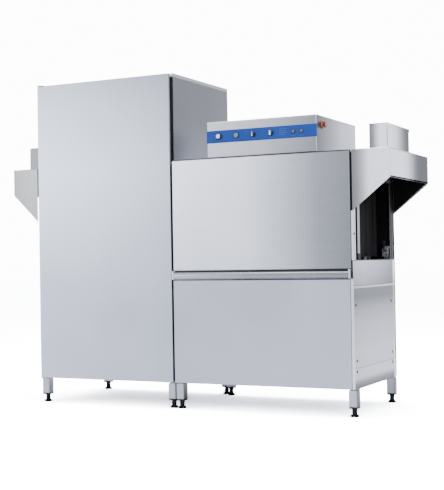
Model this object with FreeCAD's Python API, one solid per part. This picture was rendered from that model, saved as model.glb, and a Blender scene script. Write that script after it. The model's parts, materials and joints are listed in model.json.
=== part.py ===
import FreeCAD, Part
import os

# Rack conveyor dishwasher with a dryer module on its exit end. Millimetres.
# X runs along the rack track (entry end at +X), Y to the back, Z up from the floor.
# Racks travel towards -X. The origin is below the middle of the whole machine.

V = FreeCAD.Vector
os.makedirs("parts", exist_ok=True)

# ---------------------------------------------------------------- driving dimensions
half_length = 1257.0          # outer faces of both hoods
dryer_left = -1071.0          # dryer module, exit end
joint_x = -101.0              # plane where the modules are bolted together
washer_right = 1039.0         # washer module, entry end
front_y = -380.0              # front face of door and panels
body_front_y = -335.0         # front face of the frames, behind door and gasket
washer_back = 360.0
dryer_back = 405.0
washer_top = 1480.0
dryer_top = 2010.0
panel_base = 155.0            # lower edge of every cladding panel
track_z = 870.0               # rack carrying height
rack_y = 0.0                  # middle of the rack track
rack_size = 500.0
sheet = 2.0                   # cladding and liner thickness
leg = 40.0                    # square frame tube
leg_wall = 2.0
leg_base = 57.0               # lower end of the legs
tunnel_front = -257.0         # opening that the racks pass through
tunnel_back = 287.0
tunnel_base = 842.0
tunnel_top = 1330.0
rail_levels = (160.0, 800.0)  # lower edges of the frame rails
running_gap = 0.05            # radial play of a shaft in its bearing
play = 0.5                    # play of a sliding piece


# ---------------------------------------------------------------- basic shapes
def block(x, y, z):
    return Part.makeBox(x[1] - x[0], y[1] - y[0], z[1] - z[0], V(x[0], y[0], z[0]))


def rod(start, end, radius):
    start, end = V(*start), V(*end)
    return Part.makeCylinder(radius, (end - start).Length, start, end - start)


def pipe(start, end, radius, wall):
    return rod(start, end, radius).cut(rod(start, end, radius - wall))


def shrink(span, amount):
    return (span[0] + amount, span[1] - amount)


def square_tube(x, y, z, along, wall=leg_wall):
    inner = [span if axis == along else shrink(span, wall) for axis, span in zip("xyz", (x, y, z))]
    return block(x, y, z).cut(block(*inner))


def windowed(x, y, z, normal, hole_a, hole_b):
    """Plate with a rectangular window, as the strips around it.

    hole_a and hole_b are the window's spans along the plate's two in-plane axes, in X, Y, Z order.
    """
    spans = {"x": x, "y": y, "z": z}
    a, b = [axis for axis in "xyz" if axis != normal]
    pieces = [(spans[a], (spans[b][0], hole_b[0])), (spans[a], (hole_b[1], spans[b][1])),
              ((spans[a][0], hole_a[0]), hole_b), ((hole_a[1], spans[a][1]), hole_b)]
    strips = []
    for span_a, span_b in pieces:
        if span_a[1] - span_a[0] > 0.01 and span_b[1] - span_b[0] > 0.01:
            part = {normal: spans[normal], a: span_a, b: span_b}
            strips.append(block(part["x"], part["y"], part["z"]))
    return strips


def tray(x, y, z, open_side, wall=sheet):
    """Folded sheet pan: a box that is open on one side, such as '+z' or '-y'."""
    inner = {"x": shrink(x, wall), "y": shrink(y, wall), "z": shrink(z, wall)}
    axis, sign = open_side[1], open_side[0]
    low, high = inner[axis]
    inner[axis] = (low, high + wall + 1) if sign == "+" else (low - wall - 1, high)
    return block(x, y, z).cut(block(inner["x"], inner["y"], inner["z"]))


def walls(x, y, z, thick=sheet):
    """Four upright plates around a rectangle."""
    return [block(x, (y[0], y[0] + thick), z), block(x, (y[1] - thick, y[1]), z),
            block((x[0], x[0] + thick), shrink(y, thick), z),
            block((x[1] - thick, x[1]), shrink(y, thick), z)]


def fused(first, *others):
    return first.multiFuse(list(others)).removeSplitter()


# ---------------------------------------------------------------- frames, legs and feet
washer_leg_x = ((joint_x + 10, joint_x + 10 + leg), (washer_right - 3 - leg, washer_right - 3))
dryer_leg_x = ((dryer_left + 3, dryer_left + 3 + leg), (joint_x - 4 - leg, joint_x - 4))
front_leg_y = (body_front_y, body_front_y + leg)
washer_rear_leg_y = (washer_back - 3 - leg, washer_back - 3)
dryer_rear_leg_y = (dryer_back - 3 - leg, dryer_back - 3)
washer_roof_depth, dryer_roof_depth = 18.0, 22.0
washer_frame_top = washer_top - washer_roof_depth
dryer_frame_top = dryer_top - dryer_roof_depth
dryer_rail_levels = (*rail_levels, 1350.0, dryer_frame_top - leg)
collar_height = 10.0

# wide shoes that carry the legs below the cladding, flush with the ends and the back
shoe = 50.0
shoe_top = panel_base - 6       # the lower hinge bracket rests on it
washer_shoe_x = ((joint_x + 3, joint_x + 3 + shoe), (washer_right - shoe, washer_right))
dryer_shoe_x = ((dryer_left, dryer_left + shoe), (joint_x - 3 - shoe, joint_x - 3))
front_shoe_y = (body_front_y - 20, body_front_y - 20 + shoe)
washer_rear_shoe_y = (washer_back - shoe, washer_back)
dryer_rear_shoe_y = (dryer_back - shoe, dryer_back)


def frame(leg_x, rear_y, front_top, rear_top, levels):
    tubes = []
    for x in leg_x:
        tubes.append(square_tube(x, front_leg_y, (shoe_top, front_top), "z"))
        tubes.append(square_tube(x, rear_y, (shoe_top, rear_top), "z"))
    for level in levels:
        z = (level, level + leg)
        for y in (front_leg_y, rear_y):
            tubes.append(square_tube((leg_x[0][1], leg_x[1][0]), y, z, "x"))
        for x in leg_x:
            tubes.append(square_tube(x, (front_leg_y[1], rear_y[0]), z, "y"))
    return tubes


def shoes(shoe_x, rear_y):
    return [tray(x, y, (leg_base, shoe_top), "-z") for x in shoe_x for y in (front_shoe_y, rear_y)]


def shoe_centres():
    for shoe_x, rear_y in ((washer_shoe_x, washer_rear_shoe_y), (dryer_shoe_x, dryer_rear_shoe_y)):
        for x in shoe_x:
            for y in (front_shoe_y, rear_y):
                yield (sum(x) / 2, sum(y) / 2)


def collar(x, y):
    half = shoe / 2
    return block((x - half, x + half), (y - half, y + half), (leg_base - collar_height, leg_base))


def levelling_foot(x, y):
    pad_radius, pad_height, stem_radius = 25.0, 20.0, 15.0
    pad = rod((x, y, 0), (x, y, pad_height), pad_radius)
    pad = pad.makeFillet(4, [edge for edge in pad.Edges if edge.BoundBox.ZMin > pad_height - 1])
    stem = rod((x, y, pad_height), (x, y, leg_base - collar_height), stem_radius)
    return fused(pad, stem)


# ---------------------------------------------------------------- washer cladding and chamber
door_base = 820.0
door_depth = 43.0
grip_z = (768.0, 811.0)
panel_top = grip_z[0] - 3
door_x = (joint_x + 6, washer_right - 12)
door_y = (front_y, front_y + door_depth)
sill_z = (727.0, track_z)
side_z = (271.0, 725.0)
rear_angle_y = 341.0
end_sheet = 3.0               # entry end sheets
chamber_back_y = 312.0
chamber_top = 1440.0
inlet_z = 330.0               # water inlet through the back panel


def washer_front_panel():
    depth = 18.0
    return [tray((joint_x + 6, washer_right - 19), (front_y, front_y + depth), (panel_base, panel_top), "+y")]


def end_panel(z):
    """Flat panel on the entry end with a flange that turns round the front corner."""
    flange_width = 17.0
    plate = block((washer_right - end_sheet, washer_right), (front_y, rear_angle_y), z)
    flange_x, flange_y = (washer_right - flange_width, washer_right), (front_y, front_y + end_sheet)
    flange = block(flange_x, flange_y, (z[0], min(z[1], panel_top)))
    return fused(plate, flange)


def entry_end_panels():
    """Sill, side and skirt panels, the rear corner angle, and the post beside the door."""
    shelf_width, ridge_height = 27.0, 12.0
    inner_x = washer_right - end_sheet
    shelf_x, shelf_z = (inner_x - shelf_width, inner_x), (sill_z[1] - end_sheet, sill_z[1])
    shelf = block(shelf_x, (tunnel_front, tunnel_back), shelf_z)
    ridge_z = (side_z[1] - ridge_height, side_z[1])
    ridge = block((washer_right, washer_right + end_sheet), (front_y, rear_angle_y), ridge_z)
    skirt_z = (panel_base, side_z[0] - 2)
    angle = block((inner_x, washer_right + 0.5), (rear_angle_y, washer_back - 3), (panel_base, track_z))
    post = block((washer_right - 10, washer_right), (front_y + 4, body_front_y), (track_z, washer_frame_top))
    return [fused(end_panel(sill_z), shelf), fused(end_panel(side_z), ridge), end_panel(skirt_z), angle, post]


def panel_screws():
    """Side panel's four, skirt's upper two, and one in the post."""
    places = [(-350, 620), (275, 620), (-345, 312), (285, 312), (-345, 252), (285, 252), (-357, 1015)]
    height, radius = 3.0, 6.0
    return [rod((washer_right, y, z), (washer_right + height, y, z), radius) for y, z in places]


def washer_roof():
    x, y = (joint_x + sheet, washer_right), (body_front_y, washer_back)
    return [tray(x, y, (washer_frame_top, washer_top), "-z")]


def washer_back_panel():
    plate = block((joint_x, washer_right), (washer_back - 3, washer_back), (panel_base, washer_frame_top))
    hole = rod((inlet_x, washer_back - 4, inlet_z), (inlet_x, washer_back + 1, inlet_z), 12)
    return [plate.cut(hole)]


def chamber_liner():
    """Back wall, ceiling and the two end bulkheads with their rack openings."""
    left, right = (-91.0, -89.0), (1034.0, 1036.0)
    inside = (left[1], right[0])
    front = front_leg_y[1]
    z = (tunnel_base, chamber_top)
    plates = [block(inside, (chamber_back_y, chamber_back_y + sheet), z),
              block(inside, (front, chamber_back_y), (z[1] - sheet, z[1]))]
    for x in (left, right):
        y = (front, washer_rear_leg_y[0])
        plates += windowed(x, y, z, "x", (tunnel_front, tunnel_back), (tunnel_base, tunnel_top))
    return plates


guide_z = (tunnel_base, washer_frame_top)
guide_depth, guide_side = 38.0, 10.0


def door_guides():
    """Channels, open to the front, that the door's sliders run in: two sides and a back each."""
    plates = []
    back = 6.0
    y = (body_front_y, body_front_y + guide_depth)
    for x in washer_leg_x:
        plates.append(block(x, (y[1] - back, y[1]), guide_z))
        for side in ((x[0], x[0] + guide_side), (x[1] - guide_side, x[1])):
            plates.append(block(side, (y[0], y[1] - back), guide_z))
    return plates


def door_sliders():
    blocks = []
    height, reach = 60.0, 30.0
    for x in washer_leg_x:
        for z in (850.0, 940.0):
            y = (door_y[1], body_front_y + reach)
            blocks.append(block(shrink(x, guide_side + play), y, (z, z + height)))
    return blocks


def wash_door_panel():
    return [tray(door_x, door_y, (door_base, washer_top), "+y", 1.5)]


def wash_door_grip():
    """Half-round rail below the door, carried by a set-back web."""
    middle, radius = sum(grip_z) / 2, (grip_z[1] - grip_z[0]) / 2
    reach = 25.0
    nose_y = front_y - reach + radius
    nose = rod((door_x[0], nose_y, middle), (door_x[1], nose_y, middle), radius)
    bar = fused(nose, block(door_x, (nose_y, front_y + 4), grip_z))
    web = block(door_x, (front_y + 4, front_y + 10), (grip_z[0], door_base))
    return [fused(bar, web)]


# ---------------------------------------------------------------- wash tank and water system
tank_x, tank_y, tank_z = (-45.0, 990.0), (-290.0, chamber_back_y), (480.0, tunnel_base)
sump_x, sump_y, sump_base = (380.0, 560.0), (-100.0, 80.0), 420.0
inlet_x = 200.0
arm_x = (120.0, 340.0, 560.0, 780.0)
lower_arm_z, upper_arm_z = 776.0, 1366.0
manifold_y = 288.0
arm_start = -235.0            # closed front ends of the arms
wash_pipe_radius = 20.0
riser_x = 870.0
pump_x, pump_y, pump_z = 680.0, 140.0, 330.0
casing_width, casing_radius, motor_end = 90.0, 105.0, 300.0
pump_shaft_radius, suction_radius = 10.0, 30.0


def wash_tank():
    floor = (tank_z[0], tank_z[0] + sheet)
    plates = walls(tank_x, tank_y, (floor[1], tank_z[1]))
    plates += windowed(tank_x, tank_y, floor, "z", shrink(sump_x, sheet), shrink(sump_y, sheet))
    plates += walls(sump_x, sump_y, (sump_base + sheet, floor[0]))
    plates.append(block(sump_x, sump_y, (sump_base, sump_base + sheet)))
    drain, drain_length, drain_radius = (470.0, -10.0), 60.0, 25.0
    plates.append(pipe((*drain, sump_base - drain_length), (*drain, sump_base), drain_radius, 2))
    return plates


def strainer_trays():
    y, z, width = (-270.0, 240.0), (690.0, 715.0), 290.0
    return [tray((x, x + width), y, z, "+z") for x in (-30.0, 265.0, 560.0)]


def spray_arm(x, z, up):
    """Closed tube across the rack with a row of nozzles."""
    side = 1 if up else -1
    radius, pitch, nozzle_height = 18.0, 58.0, 5.0
    end = manifold_y - wash_pipe_radius
    bore = rod((x, arm_start + 2, z), (x, end, z), radius - 2)
    tube = rod((x, arm_start, z), (x, end, z), radius).cut(bore)
    nozzles = []
    for step in range(8):
        y = arm_start + pitch / 2 + 1 + step * pitch
        nozzles.append(rod((x, y, z + side * (radius - 1.5)), (x, y, z + side * (radius + nozzle_height)), 6))
    return fused(tube, *nozzles)


def wash_arms(z, up):
    manifold = pipe((60, manifold_y, z), (riser_x - wash_pipe_radius, manifold_y, z), wash_pipe_radius, 2)
    return [manifold] + [spray_arm(x, z, up) for x in arm_x]


def final_rinse_arms():
    x, riser_y, radius = 0.0, 296.0, 8.0
    arms = []
    for z, side in ((806.0, 1), (1345.0, -1)):
        arm = rod((x, arm_start, z), (x, riser_y - radius, z), radius)
        jets = [rod((x, y, z + side * 7), (x, y, z + side * 13), 4) for y in range(-210, 240, 75)]
        arms.append(fused(arm, *jets))
    arms.append(rod((x, riser_y, 700), (x, riser_y, 1360), radius))
    return arms


def wash_pump():
    """Casing, motor, and motor shell bored for the shaft, on a foot; the shaft lies along X."""
    def turned(start, end, radius):
        return rod((pump_x + start, pump_y, pump_z), (pump_x + end, pump_y, pump_z), radius)

    motor_radius, bore = 78.0, pump_shaft_radius + running_gap
    casing = turned(0, casing_width, casing_radius).cut(turned(8, casing_width - 8, casing_radius - 9))
    casing = casing.cut(turned(casing_width - 10, casing_width + 1, bore))
    motor = turned(casing_width, motor_end, motor_radius).cut(turned(casing_width - 1, motor_end - 30, bore))
    foot_x, foot_y = (pump_x + 130, pump_x + 260), (pump_y - 70, pump_y + 70)
    foot = block(foot_x, foot_y, (rail_levels[0] + leg, pump_z - 74))
    foot = foot.cut(turned(casing_width, motor_end, motor_radius))
    suction = pipe((pump_x - 70, pump_y, pump_z), (pump_x, pump_y, pump_z), suction_radius, 2)
    return [casing, motor, foot, suction]


def pump_rotor():
    shaft = rod((pump_x + 40, pump_y, pump_z), (pump_x + motor_end - 35, pump_y, pump_z), pump_shaft_radius)
    disc = rod((pump_x + 20, pump_y, pump_z), (pump_x + 40, pump_y, pump_z), 78)
    vanes = []
    for step in range(6):
        vane = block((pump_x + 12, pump_x + 21), (pump_y + 20, pump_y + 74), (pump_z - 3, pump_z + 3))
        vane.rotate(V(pump_x, pump_y, pump_z), V(1, 0, 0), step * 60)
        vanes.append(vane)
    return [fused(disc, shaft, *vanes)]


def wash_pipework():
    """Suction box and pipes from the sump, and the riser from the pump to both manifolds."""
    r, wide = wash_pipe_radius, suction_radius
    suction_x, sump_middle = pump_x - 145, sum(sump_y) / 2
    suction_z = (pump_z - wide, pump_z + wide)
    outlet_x, duct_z = pump_x + casing_width / 2, 440.0
    floor_z = tank_z[0]
    casing = rod((pump_x, pump_y, pump_z), (pump_x + casing_width, pump_y, pump_z), casing_radius)
    return [
        pipe((suction_x + wide, pump_y, pump_z), (pump_x - 70, pump_y, pump_z), wide, 2),
        block((suction_x - wide, suction_x + wide), (pump_y - 180, pump_y + wide), suction_z),
        rod((suction_x, sump_middle, pump_z + wide), (suction_x, sump_middle, sump_base), wide),
        rod((outlet_x, pump_y, pump_z + 60), (outlet_x, pump_y, duct_z), r).cut(casing),
        block((outlet_x - r, riser_x + r), (pump_y - r, manifold_y + r), (duct_z, floor_z)),
        rod((riser_x, manifold_y, floor_z + sheet), (riser_x, manifold_y, upper_arm_z + r), r)]


def booster_heater():
    """Rinse water tank with a flange and saddles, and the inlet pipe that ends behind the back panel."""
    x, y, z = (0.0, 330.0), -90.0, inlet_z
    radius, wall, coupling_radius, coupling_length = 110.0, 3.0, 16.0, 30.0
    shell = rod((x[0], y, z), (x[1], y, z), radius)
    hollow = shell.cut(rod((x[0] + wall, y, z), (x[1] - wall, y, z), radius - wall))
    flange = rod((x[0] - 14, y, z), (x[0], y, z), radius + 8)
    saddle_z = (rail_levels[0] + leg, z)
    saddles = [block((sx, sx + 30), (y - 60, y + 60), saddle_z).cut(shell) for sx in (60.0, 240.0)]
    coupling_y = washer_back + 2
    inlet = rod((inlet_x, y + 60, z), (inlet_x, coupling_y, z), 10.5).cut(shell)
    coupling = rod((inlet_x, coupling_y, z), (inlet_x, coupling_y + coupling_length, z), coupling_radius)
    return [hollow, flange, fused(inlet, coupling)] + saddles


def overflow_pipe():
    """Lift-out stand pipe beside the strainers."""
    x, y, radius, top = 930.0, -200.0, 24.0, 730.0
    tube = pipe((x, y, tank_z[0] + sheet), (x, y, top), radius, 2)
    bail = block((x - radius, x + radius), (y - 3, y + 3), (top - 6, top + 6))
    return [fused(tube, bail)]


# ---------------------------------------------------------------- rack transport
rail_offset = rack_size / 2 - 15
bar_z = (846.5, 856.5)
liner_back_y = 320.0
crank_x, crank_radius, crank_shaft_radius = -400.0, 60.0, 12.0
pawl_x = (200.0, -700.0)      # hinge axis of each pawl
pawl_axis_z = 864.0


def track_rails():
    """Two rails along the racks' edges on cross bars."""
    rails = []
    for side in (-1, 1):
        y = rack_y + side * rail_offset
        x = (dryer_left + 5, washer_right - 31)
        rails.append(square_tube(x, (y - 8, y + 8), (bar_z[0] - play, track_z), "x"))
    z = (826.0, bar_z[0] - play)
    for x in (60, 430, 935, -230, -560, -940):
        span = shrink(tank_y, sheet) if x > joint_x else (front_leg_y[1], liner_back_y)
        rails.append(block((x - 15, x + 15), span, z))
    return rails


def pawl_bar():
    bar = block((-950, 950), (rack_y - 20, rack_y + 20), bar_z)
    yoke = block((crank_x - 30, crank_x + 30), (rack_y - 80, rack_y - 19), bar_z)
    bar = fused(bar, yoke)
    bar = bar.cut(block((crank_x - 8, crank_x + 8), (rack_y - 71, rack_y - 38), (840, 860)))
    lugs = []
    for x in pawl_x:
        bar = bar.cut(block((x - 70, x + 14), (rack_y - 9, rack_y + 9), (840, 860)))
        for side in (-1, 1):
            y = sorted((rack_y + side * 10, rack_y + side * 15))
            lug = block((x - 9, x + 9), y, (bar_z[1] - 1, 872))
            lugs.append(lug.cut(rod((x, y[0], pawl_axis_z), (x, y[1], pawl_axis_z), 4 + running_gap)))
    return [fused(bar, *lugs)]


def pawl(x):
    """Tilting pawl: its upright end pushes a rack towards -X, its slope slides under the next one."""
    y, z = rack_y - 8, pawl_axis_z
    outline = [V(x + 7, y, z - 6), V(x + 7, y, z + 6), V(x - 60, y, z + 26), V(x - 60, y, z + 12)]
    outline.append(V(x - 4, y, z - 6))
    body = Part.Face(Part.makePolygon(outline + outline[:1])).extrude(V(0, 16, 0))
    return [fused(body, rod((x, rack_y - 15, z), (x, rack_y + 15, z), 4))]


def drive_crank():
    z, half_width = (826.0, 838.0), 14.0
    pin_y = rack_y - crank_radius
    shaft = rod((crank_x, rack_y, 560), (crank_x, rack_y, z[1]), crank_shaft_radius)
    arm = block((crank_x - half_width, crank_x + half_width), (pin_y, rack_y), z)
    ends = [rod((crank_x, y, z[0]), (crank_x, y, z[1]), half_width) for y in (rack_y, pin_y)]
    pin = rod((crank_x, pin_y, z[1]), (crank_x, pin_y, bar_z[1] - play), 6)
    return [fused(arm, shaft, *ends, pin)]


def gearmotor():
    """Gearbox with an upright output bore, its motor, and the hanger that carries it."""
    box = block((crank_x - 70, crank_x + 70), (rack_y - 60, rack_y + 60), (540, 680))
    box = box.cut(rod((crank_x, rack_y, 550), (crank_x, rack_y, 681), crank_shaft_radius + running_gap))
    motor = rod((crank_x + 70, rack_y, 610), (crank_x + 250, rack_y, 610), 58)
    beams = [block((x - 15, x + 15), (front_leg_y[1], liner_back_y), (800, 820))
             for x in (crank_x - 50, crank_x + 50)]
    posts = [block((x - 15, x + 15), (rack_y + dy - 10, rack_y + dy + 10), (680, 800))
             for x in (crank_x - 50, crank_x + 50) for dy in (-50, 50)]
    return [box, motor] + beams + posts


switch_x, switch_z = 1008.0, 920.0


def rack_switch():
    """Switch box on the chamber's back wall beside the entry opening, bored for the lever's spindle."""
    box = block((switch_x - 19, switch_x + 19), (270, 304), (switch_z - 34, switch_z + 14))
    bore = rod((switch_x, 269, switch_z), (switch_x, 296, switch_z), 4 + running_gap)
    bracket = block((switch_x - 19, switch_x + 19), (304, 312), (switch_z - 48, switch_z + 30))
    return [box.cut(bore), bracket]


def rack_switch_lever():
    spindle = rod((switch_x, 246, switch_z), (switch_x, 294, switch_z), 4)
    arm = block((switch_x - 4, switch_x + 4), (246, 254), (switch_z, switch_z + 55))
    roller = rod((switch_x, 240, switch_z + 55), (switch_x, 256, switch_z + 55), 9)
    return [fused(spindle, arm, roller)]


def curtain(x):
    """Hanging splash curtain with its top rod; it swings about the rod."""
    z, start = tunnel_top - 10, tunnel_front + 4
    thick, free_edge_y, clearance = 3.0, 237.0, 18.0
    hanging = block((x - thick / 2, x + thick / 2), (start, free_edge_y), (track_z + clearance, z))
    top_rod = rod((x, start, z), (x, tunnel_back - 4, z), 5)
    return [fused(hanging, top_rod)]


# ---------------------------------------------------------------- hoods
def hood(side, module_x, back_y, vent_x):
    """Splash hood: two cheeks, top and end face; open below and towards the tunnel."""
    outer = side * half_length
    end_z, foot_z = 1318.0, 1142.0
    y = (front_y, back_y)
    top, inner_y = washer_top, shrink(y, sheet)
    plates = []
    for y0 in (y[0], y[1] - sheet):
        outline = [V(module_x, y0, foot_z), V(module_x, y0, top), V(outer, y0, top), V(outer, y0, end_z)]
        plates.append(Part.Face(Part.makePolygon(outline + outline[:1])).extrude(V(0, sheet, 0)))
    end = sorted((outer, outer - side * sheet))
    span = sorted((module_x, outer - side * sheet))
    plates.append(block(end, inner_y, (end_z, top)))
    plates += windowed(span, inner_y, (top - sheet, top), "z", shrink(vent_x, sheet), shrink(vent_y, sheet))
    return plates


vent_y = (-215.0, 200.0)
entry_vent_x, exit_vent_x = (1089.0, 1192.0), (-1245.0, -1142.0)
vent_top = 1634.0


def vent_collars():
    z = (washer_top, vent_top)
    return walls(entry_vent_x, vent_y, z) + walls(exit_vent_x, vent_y, z)


# ---------------------------------------------------------------- control box
box_x, box_y, box_z = (105.0, 806.0), (-300.0, 353.0), (washer_top, 1700.0)
strip_z = (1574.0, 1647.0)
control_z = 1611.0
fascia_y = (box_y[0] - 2, box_y[0])
knob_x, button_x, mode_x, fill_x, lamp_x = 188.0, 300.0, 409.0, 522.0, (663.0, 714.0)
estop_y, estop_z = -210.0, 1649.0
estop_ring_height, estop_cap_base, estop_cap_height = 6.0, 12.0, 10.0
estop_stem_radius = 8.0
spindle_radius = 3.0
spindle_end = box_y[0] + 22
gland_x, gland_z = 700.0, 1530.0


def control_bore(x, depth=30):
    radius = spindle_radius + running_gap
    return rod((x, fascia_y[0] - 1, control_z), (x, fascia_y[1] + depth, control_z), radius)


def estop_rod(start, end, radius):
    return rod((box_x[1] + start, estop_y, estop_z), (box_x[1] + end, estop_y, estop_z), radius)


def control_box():
    shell = block(box_x, box_y, box_z).cut(block(*[shrink(span, sheet) for span in (box_x, box_y, box_z)]))
    for x in (knob_x, button_x, mode_x, fill_x):
        shell = shell.cut(control_bore(x))
    shell = shell.cut(estop_rod(-5, 1, estop_stem_radius + running_gap))
    gland = pipe((gland_x, box_y[1], gland_z), (gland_x, box_y[1] + 7, gland_z), 16, 4)
    return [shell, gland]


def control_fascia():
    strip = block(box_x, fascia_y, strip_z)
    for x in (knob_x, button_x, mode_x, fill_x):
        strip = strip.cut(control_bore(x))
    return [strip]


def control_gear():
    """Mounting plate with contactors, controller and terminal rail."""
    plate = block((180, 750), (300, 303), (1500, 1680))
    gear = [block((x, x + 55), (215, 300), (1560, 1640)) for x in (200, 270, 340)]
    controller = block((430, 560), (235, 300), (1550, 1650))
    terminals = block((590, 730), (255, 300), (1590, 1620))
    return [plate, *gear, controller, terminals]


def rotary_knob(x, skirt_radius, grip_radius, grip_depth):
    y, skirt_depth, wing_half = fascia_y[0], 5.0, skirt_radius - 3
    skirt = rod((x, y - play, control_z), (x, y - skirt_depth, control_z), skirt_radius)
    grip = rod((x, y - skirt_depth, control_z), (x, y - skirt_depth - grip_depth, control_z), grip_radius)
    wing_z = (control_z - wing_half, control_z + wing_half)
    wing = block((x - 4, x + 4), (y - grip_depth - 9, y - skirt_depth), wing_z)
    spindle = rod((x, y - 2, control_z), (x, spindle_end, control_z), spindle_radius)
    return [fused(skirt, grip, wing, spindle)]


def start_button():
    y = fascia_y[0]
    cap = rod((button_x, y - 4, control_z), (button_x, y - 12, control_z), 13)
    return [fused(cap, rod((button_x, y - 4, control_z), (button_x, spindle_end, control_z), spindle_radius))]


def pilot_lamps():
    y = fascia_y[0]
    lamps = []
    for x in lamp_x:
        lens = rod((x, y, control_z), (x, y - 8, control_z), 12)
        lamps.append(lens.makeFillet(3, [edge for edge in lens.Edges if edge.BoundBox.YMax < y - 7]))
    return lamps


def estop_base():
    ring = estop_rod(0, estop_ring_height, 24)
    return [ring.cut(estop_rod(-1, estop_ring_height + 1, estop_stem_radius + running_gap))]


def estop_button():
    cap_end = estop_cap_base + estop_cap_height
    cap = estop_rod(estop_cap_base, cap_end, 19)
    cap = cap.makeFillet(4, [edge for edge in cap.Edges if edge.BoundBox.XMin > box_x[1] + cap_end - 1])
    return [fused(cap, estop_rod(-4, estop_cap_base, estop_stem_radius))]


# ---------------------------------------------------------------- dryer module
hinge_x, hinge_y = dryer_left + 13, front_y + 9
hinge_pin_radius = 5.0
dryer_door_x = (dryer_left + 5, joint_x - 6)
dryer_door_z = (panel_base, dryer_top - 6)
dryer_door_depth = 20.0


def dryer_side_panels():
    plates = []
    z = (panel_base, dryer_frame_top)
    y = (body_front_y, dryer_back - 3)
    for x in ((dryer_left, dryer_left + sheet), (joint_x - sheet, joint_x)):
        plates += windowed(x, y, z, "x", (tunnel_front, tunnel_back), (tunnel_base, tunnel_top))
    return plates


def dryer_roof():
    return [tray((dryer_left, joint_x), (body_front_y, dryer_back), (dryer_frame_top, dryer_top), "-z")]


def dryer_back_panel():
    return [block((dryer_left, joint_x), (dryer_back - 3, dryer_back), (panel_base, dryer_frame_top))]


def dryer_liner():
    """Drip floor with a hole for the crank shaft, back wall and ceiling around the air plenum."""
    x = (dryer_leg_x[0][1], dryer_leg_x[1][0])
    y = (front_leg_y[1], liner_back_y + sheet)
    shaft_hole = ((crank_x - 75, crank_x + 75), (rack_y - 65, rack_y + 65))
    floor = windowed(x, y, (700, 702), "z", *shaft_hole)
    ceiling = windowed(x, y, (1340, 1342), "z", plenum_x, plenum_y)
    return floor + ceiling + [block(x, (liner_back_y, y[1]), (702, 1340))]


plenum_x, plenum_y, plenum_z = (-930.0, -240.0), (-240.0, 270.0), (1340.0, 1500.0)
blower_x, blower_y, blower_z = (-680.0, -500.0), 20.0, 1730.0
wheel_radius, fan_shaft_radius = 165.0, 12.0


def air_plenum():
    """Box over the tunnel: duct hole in its lid, three blowing slots in its floor."""
    plates = walls(plenum_x, plenum_y, plenum_z)
    x, y = shrink(plenum_x, sheet), shrink(plenum_y, sheet)
    plates += windowed(x, y, (plenum_z[1] - sheet, plenum_z[1]), "z", shrink(blower_x, 10), (-60, 120))
    slot, edge = 20.0, x[0]
    for middle in (-780.0, -585.0, -390.0):
        plates.append(block((edge, middle - slot / 2), y, (plenum_z[0], plenum_z[0] + sheet)))
        edge = middle + slot / 2
    plates.append(block((edge, x[1]), y, (plenum_z[0], plenum_z[0] + sheet)))
    return plates


def blower_housing():
    """Drum with a side inlet and a bottom outlet duct, the motor beside it, and two mounting rails."""
    left, right = blower_x
    z = blower_z

    def turned(start, end, radius):
        return rod((start, blower_y, z), (end, blower_y, z), radius)

    drum_radius, motor_radius, wall, bore = 200.0, 80.0, 3.0, fan_shaft_radius + running_gap
    drum = turned(left, right, drum_radius).cut(turned(left + wall, right - wall, drum_radius - wall))
    drum = drum.cut(turned(right - 5, right + 1, drum_radius / 2)).cut(turned(left - 1, left + 5, bore))
    duct_x, duct_y = shrink(blower_x, 8), (-62, 122)
    duct = walls(duct_x, duct_y, (plenum_z[1], z - 120), wall)
    duct = [plate.cut(turned(left, right, drum_radius)) for plate in duct]
    drum = drum.cut(block(shrink(duct_x, wall), shrink(duct_y, wall), (z - 230, z - 100)))
    motor = turned(left - 200, left, motor_radius).cut(turned(left - 120, left + 1, bore))
    shelf = block((left - 190, left - 20), (blower_y - 70, blower_y + 70), (z - 110, z - 76))
    shelf = shelf.cut(turned(left - 200, left, motor_radius))
    beams = [block((x - 20, x + 20), (front_leg_y[1], dryer_rear_leg_y[0]), (z - 150, z - 110))
             for x in (left - 165, left - 45)]
    return [drum, motor, shelf] + duct + beams


def blower_wheel():
    """Back plate with forward blades around it, hub and shaft."""
    start, y, z = blower_x[0] + 20, blower_y, blower_z
    width, blade_count = 120.0, 16

    def turned(low, high, radius):
        return rod((start + low, y, z), (start + high, y, z), radius)

    rim = turned(width, width + 4, wheel_radius).cut(turned(width - 1, width + 5, 125))
    blades = []
    for step in range(blade_count):
        blade = block((start + 3, start + width + 1), (y - 2, y + 2), (z + 128, z + wheel_radius - 2))
        blade.rotate(V(0, y, z), V(1, 0, 0), step * 360 / blade_count)
        blades.append(blade)
    plate, boss, shaft = turned(0, 4, wheel_radius), turned(0, 36, 30), turned(-130, 40, fan_shaft_radius)
    return [fused(plate, rim, shaft, boss, *blades)]


def heater_coil():
    """Finned heating rods across the plenum with their end blocks."""
    z = 1430.0
    rods = [rod((x, plenum_y[0] + 30, z), (x, plenum_y[1] - 30, z), 8) for x in range(-860, -300, 70)]
    ends = [block((-880, -290), (y, y + 12), (z - 15, z + 15)) for y in (plenum_y[0] + 18, plenum_y[1] - 30)]
    return rods + ends


def dryer_door_panel():
    """Double-skinned panel; its left edge is solid around the hinge pins."""
    skin, solid_edge = 1.5, 20.0
    y = (front_y, front_y + dryer_door_depth)
    outer = block(dryer_door_x, y, dryer_door_z)
    hollow_x = (dryer_door_x[0] + solid_edge, dryer_door_x[1] - skin)
    outer = outer.cut(block(hollow_x, shrink(y, skin), shrink(dryer_door_z, skin)))
    for z in (dryer_door_z[0] - 1, dryer_door_z[1] - 25):
        outer = outer.cut(rod((hinge_x, hinge_y, z), (hinge_x, hinge_y, z + 26), hinge_pin_radius))
    return [outer]


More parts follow.
